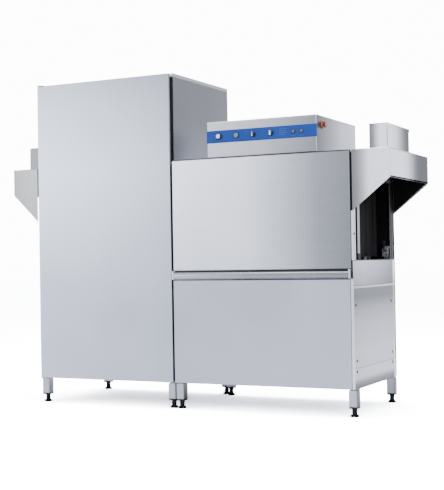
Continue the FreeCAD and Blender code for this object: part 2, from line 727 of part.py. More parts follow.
def dryer_door_gasket():
    bar = 25.0
    x, y = (dryer_door_x[0] + 9, dryer_door_x[1] - 2), (front_y + dryer_door_depth, body_front_y - play)
    outer = shrink((panel_base, dryer_frame_top), 4)
    inner = shrink(outer, bar)
    return [block(x, y, (outer[0], inner[0])), block(x, y, (inner[1], outer[1])),
            block((x[0], x[0] + bar), y, inner), block((x[1] - bar, x[1]), y, inner)]


def dryer_hinge_pins():
    low, high = dryer_door_z
    return [rod((hinge_x, hinge_y, low - 4), (hinge_x, hinge_y, low + 25), hinge_pin_radius),
            rod((hinge_x, hinge_y, high - 25), (hinge_x, hinge_y, high + 4), hinge_pin_radius)]


def dryer_hinge_brackets():
    """Plates fixed to the frame below and above the door, bored for the hinge pins."""
    brackets = []
    for z in (dryer_door_z[0] - 6, dryer_door_z[1] + 1):
        arm = block((dryer_left + 3, dryer_left + 43), (front_y + 1, body_front_y), (z, z + 5))
        bore = rod((hinge_x, hinge_y, z - 1), (hinge_x, hinge_y, z + 6), hinge_pin_radius + running_gap)
        brackets.append(arm.cut(bore))
    return brackets


# ---------------------------------------------------------------- nodes
nodes = {
    "washer_frame": [
        *frame(washer_leg_x, washer_rear_leg_y, rail_levels[1] + leg, washer_frame_top, rail_levels),
        *shoes(washer_shoe_x, washer_rear_shoe_y)],
    "dryer_frame": [
        *frame(dryer_leg_x, dryer_rear_leg_y, dryer_frame_top, dryer_frame_top, dryer_rail_levels),
        *shoes(dryer_shoe_x, dryer_rear_shoe_y)],
    "leg_collars": [collar(x, y) for x, y in shoe_centres()],
    "levelling_feet": [levelling_foot(x, y) for x, y in shoe_centres()],
    "washer_roof": washer_roof(),
    "washer_back_panel": washer_back_panel(),
    "washer_front_panel": washer_front_panel(),
    "entry_end_panels": entry_end_panels(),
    "panel_screws": panel_screws(),
    "wash_chamber_liner": chamber_liner(),
    "door_guides": door_guides(),
    "door_sliders": door_sliders(),
    "wash_door_panel": wash_door_panel(),
    "wash_door_grip": wash_door_grip(),
    "wash_tank": wash_tank(),
    "strainer_trays": strainer_trays(),
    "lower_wash_arms": wash_arms(lower_arm_z, True),
    "upper_wash_arms": wash_arms(upper_arm_z, False),
    "final_rinse_arms": final_rinse_arms(),
    "wash_pump": wash_pump(),
    "pump_rotor": pump_rotor(),
    "wash_pipework": wash_pipework(),
    "booster_heater": booster_heater(),
    "overflow_pipe": overflow_pipe(),
    "track_rails": track_rails(),
    "pawl_bar": pawl_bar(),
    "entry_pawl": pawl(pawl_x[0]),
    "exit_pawl": pawl(pawl_x[1]),
    "drive_crank": drive_crank(),
    "gearmotor": gearmotor(),
    "rack_switch": rack_switch(),
    "rack_switch_lever": rack_switch_lever(),
    "entry_curtain": curtain(965.0),
    "middle_curtain": curtain(-75.0),
    "exit_curtain": curtain(-1050.0),
    "entry_hood": hood(1, washer_right, washer_back, entry_vent_x),
    "exit_hood": hood(-1, dryer_left, washer_back, exit_vent_x),
    "vent_collars": vent_collars(),
    "control_box": control_box(),
    "control_fascia": control_fascia(),
    "control_gear": control_gear(),
    "power_knob": rotary_knob(knob_x, 19, 13, 15),
    "start_button": start_button(),
    "mode_knob": rotary_knob(mode_x, 16, 11, 12),
    "fill_knob": rotary_knob(fill_x, 16, 11, 12),
    "pilot_lamps": pilot_lamps(),
    "estop_base": estop_base(),
    "estop_button": estop_button(),
    "dryer_side_panels": dryer_side_panels(),
    "dryer_roof": dryer_roof(),
    "dryer_back_panel": dryer_back_panel(),
    "dryer_liner": dryer_liner(),
    "air_plenum": air_plenum(),
    "blower_housing": blower_housing(),
    "blower_wheel": blower_wheel(),
    "heater_coil": heater_coil(),
    "dryer_door_panel": dryer_door_panel(),
    "dryer_door_gasket": dryer_door_gasket(),
    "dryer_hinge_pins": dryer_hinge_pins(),
    "dryer_hinge_brackets": dryer_hinge_brackets(),
}

for name, solids in nodes.items():
    shape = solids[0] if len(solids) == 1 else Part.makeCompound(solids)
    shape.exportStep("parts/" + name + ".step")
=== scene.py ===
import json
import math

import bmesh
import bpy
from mathutils import Matrix, Vector

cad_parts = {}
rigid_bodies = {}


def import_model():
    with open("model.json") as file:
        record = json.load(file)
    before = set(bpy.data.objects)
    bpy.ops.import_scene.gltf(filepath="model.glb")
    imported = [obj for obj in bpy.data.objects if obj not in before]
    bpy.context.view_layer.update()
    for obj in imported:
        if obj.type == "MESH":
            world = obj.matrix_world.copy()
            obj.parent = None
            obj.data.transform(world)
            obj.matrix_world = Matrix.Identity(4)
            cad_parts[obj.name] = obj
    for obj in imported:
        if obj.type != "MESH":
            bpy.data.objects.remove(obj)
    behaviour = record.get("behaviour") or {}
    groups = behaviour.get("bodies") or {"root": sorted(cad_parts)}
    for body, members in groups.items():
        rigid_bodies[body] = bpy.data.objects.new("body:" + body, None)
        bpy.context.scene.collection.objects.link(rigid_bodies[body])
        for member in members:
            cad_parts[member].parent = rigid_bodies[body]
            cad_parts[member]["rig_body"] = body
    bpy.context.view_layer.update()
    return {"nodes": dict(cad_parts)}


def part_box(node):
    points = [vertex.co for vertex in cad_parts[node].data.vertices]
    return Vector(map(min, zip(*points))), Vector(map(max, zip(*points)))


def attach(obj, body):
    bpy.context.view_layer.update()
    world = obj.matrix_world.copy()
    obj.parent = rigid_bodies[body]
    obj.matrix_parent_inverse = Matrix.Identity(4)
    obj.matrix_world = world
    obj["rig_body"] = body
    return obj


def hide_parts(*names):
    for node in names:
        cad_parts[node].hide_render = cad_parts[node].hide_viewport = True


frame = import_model()
nodes = frame["nodes"]


# ---------------------------------------------------------------- camera
def make_camera():
    """Long lens at rack height, turned towards the entry end, with the slight tilt of a hand-held shot."""
    data = bpy.data.cameras.new("camera")
    data.sensor_width = 36
    data.lens = 81.07
    camera = bpy.data.objects.new("camera", data)
    bpy.context.scene.collection.objects.link(camera)
    turn, lift, tilt = (math.radians(angle) for angle in (26.596, 0.773, -0.94))
    aim = Matrix.Rotation(turn, 4, "Z") @ Matrix.Rotation(math.pi / 2 + lift, 4, "X")
    camera.matrix_world = Matrix.Translation((3.111, -6.127, 0.882)) @ aim @ Matrix.Rotation(tilt, 4, "Z")
    bpy.context.scene.camera = camera


make_camera()


# ---------------------------------------------------------------- materials
def new_material(name, colour, metallic, roughness):
    material = bpy.data.materials.new(name)
    material.use_nodes = True
    shader = material.node_tree.nodes["Principled BSDF"]
    shader.inputs["Base Color"].default_value = (*colour, 1)
    shader.inputs["Metallic"].default_value = metallic
    shader.inputs["Roughness"].default_value = roughness
    return material, material.node_tree, shader


def noise(tree, scale, detail=3, stretch=(1, 1, 1)):
    """Noise in object space, stretched along the axes; returns its factor socket."""
    place = tree.nodes.new("ShaderNodeTexCoord")
    mapping = tree.nodes.new("ShaderNodeMapping")
    mapping.inputs["Scale"].default_value = stretch
    texture = tree.nodes.new("ShaderNodeTexNoise")
    texture.inputs["Scale"].default_value = scale
    texture.inputs["Detail"].default_value = detail
    tree.links.new(place.outputs["Object"], mapping.inputs["Vector"])
    tree.links.new(mapping.outputs["Vector"], texture.inputs["Vector"])
    return texture.outputs["Fac"]


NOISE_SPAN = (0.3, 0.7)     # where nearly all of a noise texture's values lie


def remapped(tree, value, source, target=(0, 1)):
    node = tree.nodes.new("ShaderNodeMapRange")
    for socket, limit in zip(("From Min", "From Max", "To Min", "To Max"), (*source, *target)):
        node.inputs[socket].default_value = limit
    tree.links.new(value, node.inputs["Value"])
    return node.outputs["Result"]


def ramped(tree, factor, stops):
    """Colour ramp through stops of (position, colour)."""
    node = tree.nodes.new("ShaderNodeValToRGB")
    elements = node.color_ramp.elements
    while len(elements) < len(stops):
        elements.new(0.5)
    for element, (position, colour) in zip(elements, stops):
        element.position = position
        element.color = (*colour, 1)
    tree.links.new(factor, node.inputs["Fac"])
    return node.outputs["Color"]


def spread(tree, factor, low, high):
    """Noise factor spread over low to high."""
    return remapped(tree, factor, NOISE_SPAN, (low, high))


def tint(tree, factor, dark, light):
    return ramped(tree, factor, list(zip(NOISE_SPAN, (dark, light))))


def total(tree, first, second):
    """First plus second; adding is what a new math node does."""
    node = tree.nodes.new("ShaderNodeMath")
    tree.links.new(first, node.inputs[0])
    tree.links.new(second, node.inputs[1])
    return node.outputs[0]


def bump(tree, height, distance, strength):
    node = tree.nodes.new("ShaderNodeBump")
    node.inputs["Strength"].default_value = strength
    node.inputs["Distance"].default_value = distance
    tree.links.new(height, node.inputs["Height"])
    return node


def painted_shade_fade(tree, colour, axis, stops):
    """Colour times a gain that runs along one axis through stops of (place, gain): painted shade and sheen
    drifting across the sheet.
    """
    place = tree.nodes.new("ShaderNodeTexCoord")
    split = tree.nodes.new("ShaderNodeSeparateXYZ")
    tree.links.new(place.outputs["Object"], split.inputs["Vector"])
    start, stop = stops[0][0], stops[-1][0]
    along = remapped(tree, split.outputs[axis], (start, stop))
    gains = [((where - start) / (stop - start), (gain, gain, gain)) for where, gain in stops]
    mix = tree.nodes.new("ShaderNodeMix")
    mix.data_type = "RGBA"
    mix.blend_type = "MULTIPLY"
    mix.inputs["Factor"].default_value = 1
    tree.links.new(colour, mix.inputs["A"])
    tree.links.new(ramped(tree, along, gains), mix.inputs["B"])
    return mix.outputs["Result"]


def brushed(name, colour, roughness=0.33, grain="x", contrast=0.05, painted_fades=(), shade_at_grazing=False):
    """Satin sheet steel: fine grain lines along one axis, wiping marks, a colour drift and a faint wave.

    Each fade is an axis and its stops, in the form the fade function takes, and paints shade and sheen along
    that axis. A sheet with the grazing flag set carries the painted shade into its reflection too, so it
    holds at a glance as well.
    """
    material, tree, shader = new_material(name, colour, 1.0, roughness)
    stretch = [1.2 if axis == grain else 260 for axis in "xyz"]
    lines = noise(tree, 3.2, 4, stretch)
    clouds = noise(tree, 2.3, 4)
    dark = [channel * (1 - contrast) for channel in colour]
    light = [min(1, channel * (1 + contrast)) for channel in colour]
    shade = tint(tree, clouds, dark, light)
    for axis, stops in painted_fades:
        shade = painted_shade_fade(tree, shade, axis, stops)
    tree.links.new(shade, shader.inputs["Base Color"])
    if shade_at_grazing:
        tree.links.new(shade, shader.inputs["Specular Tint"])
    scratched = spread(tree, lines, roughness - 0.03, roughness + 0.025)
    tree.links.new(total(tree, scratched, spread(tree, clouds, -0.03, 0.03)), shader.inputs["Roughness"])
    wave = bump(tree, noise(tree, 1.6, 1), 0.0012, 0.6)
    scratches = bump(tree, lines, 0.00004, 0.25)
    tree.links.new(wave.outputs["Normal"], scratches.inputs["Normal"])
    tree.links.new(scratches.outputs["Normal"], shader.inputs["Normal"])
    return material


def coated(name, dark, light, roughness, grain_scale, depth, metallic=0.0, coat=0.0, gloss=0.5):
    """Paint, plastic or rubber: fine surface texture with a slow drift of colour and gloss."""
    material, tree, shader = new_material(name, light, metallic, roughness)
    shader.inputs["Coat Weight"].default_value = coat
    shader.inputs["Specular IOR Level"].default_value = gloss
    fine = noise(tree, grain_scale, 3)
    slow = noise(tree, 5, 3)
    tree.links.new(tint(tree, slow, dark, light), shader.inputs["Base Color"])
    tree.links.new(spread(tree, fine, roughness - 0.06, roughness + 0.06), shader.inputs["Roughness"])
    tree.links.new(bump(tree, fine, depth, 0.6).outputs["Normal"], shader.inputs["Normal"])
    return material


ALONG_X, ALONG_Y, ALONG_Z = 0, 1, 2
# The fades on the stainless sheets below are painted shade and sheen, each set for the surfaces that the
# sheet covers. The side panels' steel is darkened as painted shade.
steel_front = brushed("steel_front", (0.60, 0.65, 0.76), 0.34, "z", 0.04, [
    (ALONG_X, [(-1.066, 1.0), (-0.107, 0.82)]),
    (ALONG_Z, [(0.155, 0.95), (0.9, 0.98), (1.45, 1.0), (1.8, 0.78), (2.0, 0.62)])])
steel_door = brushed("steel_door", (0.84, 0.88, 0.98), 0.30, "x", 0.03, [
    (ALONG_X, [(-0.095, 0.95), (0.16, 1.0), (0.40, 0.98), (0.61, 0.70), (0.83, 0.38), (1.03, 0.27)])])
steel_hood = brushed("steel_hood", (0.92, 0.925, 1.0), 0.30, "x", 0.04, [
    (ALONG_X, [(-1.257, 0.27), (-1.15, 0.33), (-1.03, 0.33), (1.04, 0.20), (1.07, 0.28), (1.10, 0.48),
               (1.14, 0.95), (1.257, 1.0)])])
steel_collar = brushed("steel_collar", (0.92, 0.925, 1.0), 0.30, "x", 0.04, [
    (ALONG_X, [(1.089, 0.20), (1.11, 0.28), (1.15, 1.0), (1.192, 1.0)])])
steel_hood_end = brushed("steel_hood_end", (0.94, 0.945, 1.0), 0.26, "y", 0.04, [
    (ALONG_Y, [(-0.38, 0.97), (-0.15, 1.0), (-0.05, 0.85), (0.05, 0.52), (0.10, 0.38), (0.16, 0.31),
               (0.26, 0.30), (0.36, 0.31)])], shade_at_grazing=True)
steel_panel = brushed("steel_panel", (0.46, 0.49, 0.565), 0.36, "x", 0.04)
steel_box = brushed("steel_box", (0.82, 0.84, 0.93), 0.34, "z", 0.04, [
    (ALONG_X, [(0.105, 0.74), (0.45, 0.68), (0.80, 0.36), (0.803, 1.0), (0.806, 1.0)]),
    (ALONG_Y, [(-0.30, 1.0), (-0.296, 0.21), (-0.10, 0.45), (0.10, 0.80), (0.35, 1.0)])])
steel_side = brushed("steel_side", (0.42, 0.43, 0.485), 0.34, "z", 0.05, [
    (ALONG_Z, [(0.9, 1.0), (1.48, 1.0), (1.62, 0.84), (1.75, 0.70), (2.0, 0.66)])])
steel_end = brushed("steel_end", (0.84, 0.86, 0.95), 0.34, "y", 0.04, [
    (ALONG_Y, [(-0.38, 0.86), (-0.10, 0.98), (0.34, 1.0)]),
    (ALONG_Z, [(0.155, 0.14), (0.185, 0.28), (0.215, 0.85), (0.262, 0.92), (0.270, 0.85), (0.36, 0.92),
               (0.52, 0.84), (0.60, 0.62), (0.66, 0.32), (0.712, 0.32), (0.714, 1.0), (0.725, 1.0)])])
steel_sill = brushed("steel_sill", (0.84, 0.86, 0.95), 0.34, "y", 0.04, [
    (ALONG_Y, [(-0.38, 0.90), (-0.20, 1.0), (0.0, 0.85), (0.30, 0.50)]),
    (ALONG_Z, [(0.727, 0.60), (0.80, 0.82), (0.87, 1.0)])])
# Narrow dark bands of painted shade at the legs' edges and on the back post.
leg_edge_shade = [(edge + step, gain) for edge in (-1.0225, -0.1055, -0.0495)
             for step, gain in ((0, 1.0), (0.001, 0.35), (0.002, 0.35), (0.003, 1.0))]
steel_leg = brushed("steel_leg", (0.46, 0.48, 0.54), 0.30, "z", 0.04, [
    (ALONG_X, leg_edge_shade + [(1.0375, 1.0), (1.0385, 0.30), (1.0395, 0.30)])])
steel_grip = brushed("steel_grip", (0.60, 0.62, 0.68), 0.24, "x", 0.03, [
    (ALONG_X, [(-0.095, 0.8), (0.4, 0.5), (1.03, 0.4)])])
steel_flat = brushed("steel_flat", (0.62, 0.63, 0.67), 0.38, "x")
steel_tube = brushed("steel_tube", (0.55, 0.57, 0.62), 0.30, "z")
steel_inner = brushed("steel_inner", (0.48, 0.49, 0.51), 0.42, "x")
steel_polished = brushed("steel_polished", (0.80, 0.81, 0.84), 0.22, "z", 0.02)
# Brighter, glossier steel: the painted highlight on the back fold of the end sheets.
steel_highlight_bright = brushed("steel_highlight_bright", (0.97, 0.97, 0.98), 0.12, "z", 0.01)
# Dark steel for dark parts, also used as painted shade in strips along edges, on the sill and on the rear
# post.
dark_steel_and_shade = brushed("dark_steel_and_shade", (0.045, 0.047, 0.050), 0.42, "z")
# Near black for printed lines, and painted shade in gaps, holes, recesses, openings and under and inside the
# sheets.
black_shade_and_ink = coated("black_shade_and_ink", (0.003, 0.003, 0.003), (0.006, 0.006, 0.005), 0.80, 420, 0.0001,
                      gloss=0.05)
rubber = coated("black_rubber", (0.004, 0.004, 0.004), (0.009, 0.009, 0.009), 0.70, 700, 0.00006, gloss=0.10)
black_plastic = coated("black_plastic", (0.008, 0.008, 0.009), (0.014, 0.014, 0.015), 0.50, 900, 0.00005,
                       gloss=0.25)
grey_plastic = coated("grey_plastic", (0.22, 0.23, 0.24), (0.32, 0.33, 0.34), 0.45, 800, 0.00005)
blue_film = coated("blue_film", (0.010, 0.045, 0.22), (0.014, 0.056, 0.27), 0.45, 1100, 0.00002, gloss=0.10)
motor_paint = coated("motor_paint", (0.05, 0.09, 0.16), (0.07, 0.12, 0.20), 0.40, 260, 0.00010, coat=0.2)
green_plastic = coated("green_button", (0.11, 0.13, 0.12), (0.16, 0.18, 0.16), 0.35, 700, 0.00003, coat=0.3)
amber = coated("amber_lens", (0.07, 0.06, 0.05), (0.11, 0.09, 0.07), 0.22, 500, 0.00003, coat=0.5)
orange = coated("estop_orange", (0.34, 0.085, 0.030), (0.44, 0.12, 0.045), 0.35, 600, 0.00003, coat=0.3)
dark_red = coated("estop_red", (0.07, 0.010, 0.006), (0.12, 0.016, 0.010), 0.32, 600, 0.00003, coat=0.4)
white_ink = coated("white_ink", (0.045, 0.09, 0.28), (0.06, 0.11, 0.32), 0.55, 900, 0.00001, gloss=0.10)
white_plastic = coated("white_plastic", (0.70, 0.70, 0.70), (0.82, 0.82, 0.82), 0.38, 800, 0.00003)
copper = coated("copper", (0.42, 0.20, 0.11), (0.60, 0.31, 0.18), 0.35, 300, 0.00003, metallic=1.0)


# ---------------------------------------------------------------- mesh building
class Piece:
    """A mesh put together from simple shapes, each with its own material."""

    def __init__(self, name):
        self.name = name
        self.bm = bmesh.new()
        self.materials = []

    def add(self, part, material):
        if material not in self.materials:
            self.materials.append(material)
        index = self.materials.index(material)
        for face in part.faces:
            face.material_index = index
        mesh = bpy.data.meshes.new("part")
        part.to_mesh(mesh)
        part.free()
        self.bm.from_mesh(mesh)
        bpy.data.meshes.remove(mesh)

    def box(self, low, high, material, radius=0.001, segments=2):
        part = bmesh.new()
        bmesh.ops.create_cube(part, size=1)
        low, high = Vector(low), Vector(high)
        size = high - low
        for vert in part.verts:
            vert.co = Vector([(low[i] + high[i]) / 2 + vert.co[i] * size[i] for i in range(3)])
        soften(part, min(radius, 0.45 * min(size)), segments)
        self.add(part, material)

    def prism(self, outline, axis, span, material, radius=0.001, segments=2):
        """Outline in the plane across axis, in X, Y, Z order, carried from span[0] to span[1] along it."""
        part = bmesh.new()
        others = [i for i in range(3) if i != axis]
        loops = []
        for along in span:
            loop = []
            for a, b in outline:
                point = [0.0, 0.0, 0.0]
                point[axis], point[others[0]], point[others[1]] = along, a, b
                loop.append(part.verts.new(point))
            loops.append(loop)
        count = len(outline)
        for i in range(count):
            j = (i + 1) % count
            part.faces.new((loops[0][i], loops[0][j], loops[1][j], loops[1][i]))
        part.faces.new(loops[0])
        part.faces.new(loops[1][::-1])
        soften(part, radius, segments)
        self.add(part, material)

    def loft(self, rings, material, closed=False):
        """Rings of points in order, joined one to the next. A ring of one point is a tip."""
        part = bmesh.new()
        rings = [[part.verts.new(point) for point in ring] for ring in rings]
        steps = max(len(ring) for ring in rings)
        pairs = list(zip(rings, rings[1:]))
        if closed:
            pairs.append((rings[-1], rings[0]))
        for lower, upper in pairs:
            for i in range(steps):
                j = (i + 1) % steps
                quad = [ring[k % len(ring)] for ring, k in ((lower, i), (lower, j), (upper, j), (upper, i))]
                corners = list(dict.fromkeys(quad))
                if len(corners) > 2:
                    part.faces.new(corners)
        if not closed:
            for ring in (rings[0], rings[-1]):
                if len(ring) > 2:
                    part.faces.new(ring)
        self.add(part, material)

    def lathe(self, start, direction, profile, material, steps=40, closed=False):
        """Profile of (distance along direction, radius) pairs turned about the line from start."""
        start, direction = Vector(start), Vector(direction).normalized()
        side = direction.orthogonal().normalized()
        up = direction.cross(side)
        around = [2 * math.pi * step / steps for step in range(steps)]
        rings = []
        for along, radius in profile:
            centre = start + direction * along
            ring = [centre + (side * math.cos(a) + up * math.sin(a)) * radius for a in around]
            rings.append(ring if radius > 0 else [centre])
        self.loft(rings, material, closed)

    def copy_node(self, node, material, radius=0.001, segments=2):
        """The CAD node's solids with rounded edges."""
        for part in solids_of(node):
            low, high = box_of(part)
            thin = min(high - low)
            soften(part, min(radius, 0.3 * thin), segments)
            self.add(part, material)

    def finish(self, body, slot, *replaced):
        bmesh.ops.recalc_face_normals(self.bm, faces=self.bm.faces)
        mesh = bpy.data.meshes.new(self.name)
        self.bm.to_mesh(mesh)
        self.bm.free()
        for material in self.materials:
            mesh.materials.append(material)
        mesh.shade_smooth()
        mesh.set_sharp_from_angle(angle=math.radians(32))
        piece = bpy.data.objects.new(self.name, mesh)
        bpy.context.scene.collection.objects.link(piece)
        weighted = piece.modifiers.new("weighted", "WEIGHTED_NORMAL")
        weighted.keep_sharp = True
        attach(piece, body)
        if replaced:
            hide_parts(*replaced)
        return piece


def folds_of(part, angle):
    """Edges between two faces that turn by more than the angle, in radians."""
    return [edge for edge in part.edges if len(edge.link_faces) == 2 and edge.calc_face_angle() > angle]


def soften(part, radius, segments=2):
    """Rounds every edge that turns by more than 30 degrees."""
    bmesh.ops.recalc_face_normals(part, faces=part.faces)
    smallest = 2e-5
    if radius < smallest:
        return
    bmesh.ops.bevel(part, geom=folds_of(part, 0.52), offset=radius, segments=segments, profile=0.5,
                    affect="EDGES", clamp_overlap=True)


def box_of(part):
    corners = [[vert.co[i] for vert in part.verts] for i in range(3)]
    return Vector([min(c) for c in corners]), Vector([max(c) for c in corners])


def solids_of(node):
    """Each solid of a CAD node as its own welded mesh.

    The node's faces come solid by solid, so a solid is complete when each of its edges has two faces.
    """
    mesh = nodes[node].data
    corners = [tuple(round(c, 6) for c in vert.co) for vert in mesh.vertices]
    groups, faces, open_edges = [], [], {}
    for polygon in mesh.polygons:
        loop = [corners[i] for i in polygon.vertices]
        faces.append(loop)
        for a, b in zip(loop, loop[1:] + loop[:1]):
            edge = frozenset((a, b))
            if open_edges.pop(edge, None) is None:
                open_edges[edge] = True
        if not open_edges:
            groups.append(faces)
            faces = []
    if faces:
        groups.append(faces)
    parts = []
    for group in groups:
        part = bmesh.new()
        verts = {}
        for corner in {corner for loop in group for corner in loop}:
            verts[corner] = None
        for loop in group:
            for corner in loop:
                verts[corner] = verts[corner] or part.verts.new(corner)
            if len(set(loop)) > 2:
                part.faces.new([verts[corner] for corner in loop])
        bmesh.ops.dissolve_limit(part, angle_limit=0.01, verts=part.verts, edges=part.edges)
        parts.append(part)
    return parts


def body_of(node):
    return nodes[node]["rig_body"]


def span_of(node):
    """The node's own body, and its lowest and highest corners."""
    low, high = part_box(node)
    return body_of(node), low, high


def refine(node, material, slot, radius=0.0008, segments=2):
    """The CAD node as it stands, with its edges broken and its faces shaded smoothly."""
    piece = Piece(f"{node}_finished")
    piece.copy_node(node, material, radius, segments)
    return piece.finish(body_of(node), slot, node)


def middle_of(low, high):
    return (Vector(low) + Vector(high)) / 2


def arc(centre, radius, start, stop, steps):
    angles = [math.radians(start + (stop - start) * step / steps) for step in range(steps + 1)]
    return [(centre[0] + radius * math.cos(a), centre[1] + radius * math.sin(a)) for a in angles]


def screw_head(piece, at, direction, material, radius=0.0055, rise=0.0028):
    """A pan head with a cross recess drawn as four dark slots, painted shade in the recess."""
    at, direction = Vector(at), Vector(direction).normalized()
    dome = [(0, radius), (rise * 0.35, radius), (rise * 0.75, radius * 0.8), (rise, radius * 0.45), (rise, 0)]
    piece.lathe(at, direction, dome, material, 24)
    axis = max(range(3), key=lambda i: abs(direction[i]))
    for long in [i for i in range(3) if i != axis]:
        half = [0.0006] * 3
        half[long] = radius * 0.55
        half[axis] = 0.0004
        centre = at + direction * rise
        piece.box(centre - Vector(half), centre + Vector(half), black_shade_and_ink, 0)


# ---------------------------------------------------------------- frames and feet
def make_frames():
    refine("washer_frame", steel_leg, "frame_steel", 0.0012)
    refine("dryer_frame", steel_leg, "frame_steel", 0.0012)
    refine("leg_collars", black_plastic, "frame_steel", 0.0015, 3)
    feet = Piece("levelling_feet_turned")
    for part in solids_of("levelling_feet"):
        foot_low, foot_high = box_of(part)
        part.free()
        centre = middle_of(foot_low, foot_high)
        ground = (centre.x, centre.y, foot_low.z)
        pad = (foot_high.x - foot_low.x) / 2
        height = foot_high.z - foot_low.z
        stem, thread_start, pitch = 0.015, 0.012, 0.0024
        dome = arc((0.006, stem + 0.001), pad - stem - 0.001, 90, 0, 8)
        turned = [(0, pad - 0.003), (0.0015, pad - 0.001)] + dome
        feet.lathe(ground, (0, 0, 1), turned + [(dome[-1][0], 0)], rubber)
        thread = [(thread_start, 0)]
        rings = int((height - thread_start - 0.002) / pitch)
        for ring in range(rings):
            root = thread_start + ring * pitch
            thread += [(root, stem - 0.0010), (root + pitch / 2, stem)]
        thread += [(height, stem), (height, 0)]
        feet.lathe(ground, (0, 0, 1), thread, black_plastic, 28)
    feet.finish(body_of("levelling_feet"), "black_rubber", "levelling_feet")


# ---------------------------------------------------------------- doors
def make_wash_door():
    body, low, high = span_of("wash_door_panel")
    door = Piece("wash_door_skins")
    inner_y = high.y - 0.016
    door.box(low, (high.x, inner_y, high.z - 0.002), steel_door, 0.008, 4)
    edge = Vector((0.012, 0, 0.010))
    door.box(Vector((low.x, inner_y - 0.002, low.z)) + edge, high - edge, steel_inner, 0.004, 3)
    # Dark strip along the door's top edge, where the skin ends 2 mm lower: painted shade over the rounded
    # edge.
    lip, inset = 0.0045, 0.001
    top_shade_low = (low.x + inset, low.y + 0.0004, high.z - lip)
    door.box(top_shade_low, (high.x - inset, inner_y, high.z), dark_steel_and_shade, 0.001)
    door.finish(body, "stainless", "wash_door_panel")

    body, low, high = span_of("wash_door_grip")
    nose = 0.0215
    web_front, web_back = -0.376, -0.370
    grip_top = low.z + 2 * nose
    centre = (low.y + nose, low.z + nose)
    outline = arc(centre, nose, 270, 90, 16)
    outline = [(web_front, low.z)] + outline + [(web_front, grip_top)]
    grip = Piece("wash_door_grip_bar")
    cap = 0.013
    left, right = low.x + cap, high.x - cap
    grip.prism(outline, 0, (left, right), steel_grip, 0.0008)
    grip.box((left, web_front - 0.0005, low.z), (right, web_back, high.z), black_plastic, 0.0010)
    for start in (low.x, right):
        grip.box((start, low.y + 0.004, low.z), (start + cap, web_back, high.z), steel_flat, 0.0035, 4)
    grip.box((left, web_back - 0.0005, high.z - 0.020), (right, high.y, high.z), rubber, 0.0015)
    grip.finish(body, "stainless", "wash_door_grip")

    refine("door_sliders", grey_plastic, "grey_plastic", 0.0025, 3)
    refine("door_guides", black_plastic, "black_plastic", 0.0012)


def make_dryer_door():
    body, low, high = span_of("dryer_door_panel")
    door = Piece("dryer_door_skins")
    seam = 0.0035
    door.box(low, (high.x, high.y - seam, high.z), steel_front, 0.005, 4)
    edge = Vector((0.006, 0, 0.006))
    door.box(Vector((low.x, high.y - seam - 0.001, low.z)) + edge, high - edge, steel_inner, 0.0015, 2)
    door.finish(body, "stainless", "dryer_door_panel")

    body, low, high = span_of("dryer_door_gasket")
    gasket = Piece("dryer_door_bulb_gasket")
    base, lip = 0.006, 0.004
    slim = Vector((0.0035, 0, 0.0035))
    for part in solids_of("dryer_door_gasket"):
        bar_low, bar_high = box_of(part)
        part.free()
        gasket.box(bar_low, (bar_high.x, bar_low.y + base, bar_high.z), rubber, 0.0015)
        bulb_low = Vector((bar_low.x, bar_low.y + base - 0.001, bar_low.z)) + slim
        gasket.box(bulb_low, bar_high - slim, rubber, 0.008, 4)
    gasket.box((high.x - 0.001, low.y + 0.0005, low.z), (high.x + lip, high.y - 0.001, high.z), rubber, 0.001)
    gasket.finish(body, "black_rubber", "dryer_door_gasket")

    refine("dryer_hinge_pins", steel_polished, "frame_steel", 0.0006)
    refine("dryer_hinge_brackets", steel_tube, "frame_steel", 0.0012)


# ---------------------------------------------------------------- casing panels
def make_casing():
    body, low, high = span_of("washer_front_panel")
    panel = Piece("washer_front_panel_pan")
    panel.box(low, high, steel_panel, 0.005, 4)
    panel.finish(body, "stainless", "washer_front_panel")

    make_entry_end()
    refine("dryer_side_panels", steel_side, "stainless", 0.0006)
    refine("washer_roof", steel_flat, "stainless", 0.0008)
    refine("dryer_roof", steel_flat, "stainless", 0.0008)

    screws = Piece("panel_screws_cross_head")
    for part in solids_of("panel_screws"):
        head_low, head_high = box_of(part)
        part.free()
        centre = middle_of(head_low, head_high)
        seat = (head_low.x, centre.y, centre.z)
        radius = (head_high.y - head_low.y) / 2
        screw_head(screws, seat, (1, 0, 0), black_plastic, radius, head_high.x - head_low.x)
        washer = [(0, radius * 1.4), (0.0007, radius * 1.4), (0.0009, radius * 1.3), (0.0009, 0)]
        screws.lathe(seat, (1, 0, 0), washer, black_shade_and_ink, 24)
    screws.finish(body_of("panel_screws"), "frame_steel", "panel_screws")

    for node, rows in (("washer_back_panel", (0.62, 0.80)), ("dryer_back_panel", (0.50, 1.80))):
        body, low, high = span_of(node)
        back = Piece(f"{node}_louvred")
        back.copy_node(node, steel_flat, 0.0008)
        for row in rows:
            add_louvres(back, (low.x + high.x) / 2, high.y, row)
        side_inset, end_inset, spaces = 0.020, 0.030, 4
        for side in (low.x + side_inset, high.x - side_inset):
            for step in range(spaces + 1):
                height = low.z + end_inset + step * (high.z - low.z - 2 * end_inset) / spaces
                screw_head(back, (side, high.y, height), (0, 1, 0), steel_polished, 0.0055, 0.0010)
        back.finish(body, "stainless", node)


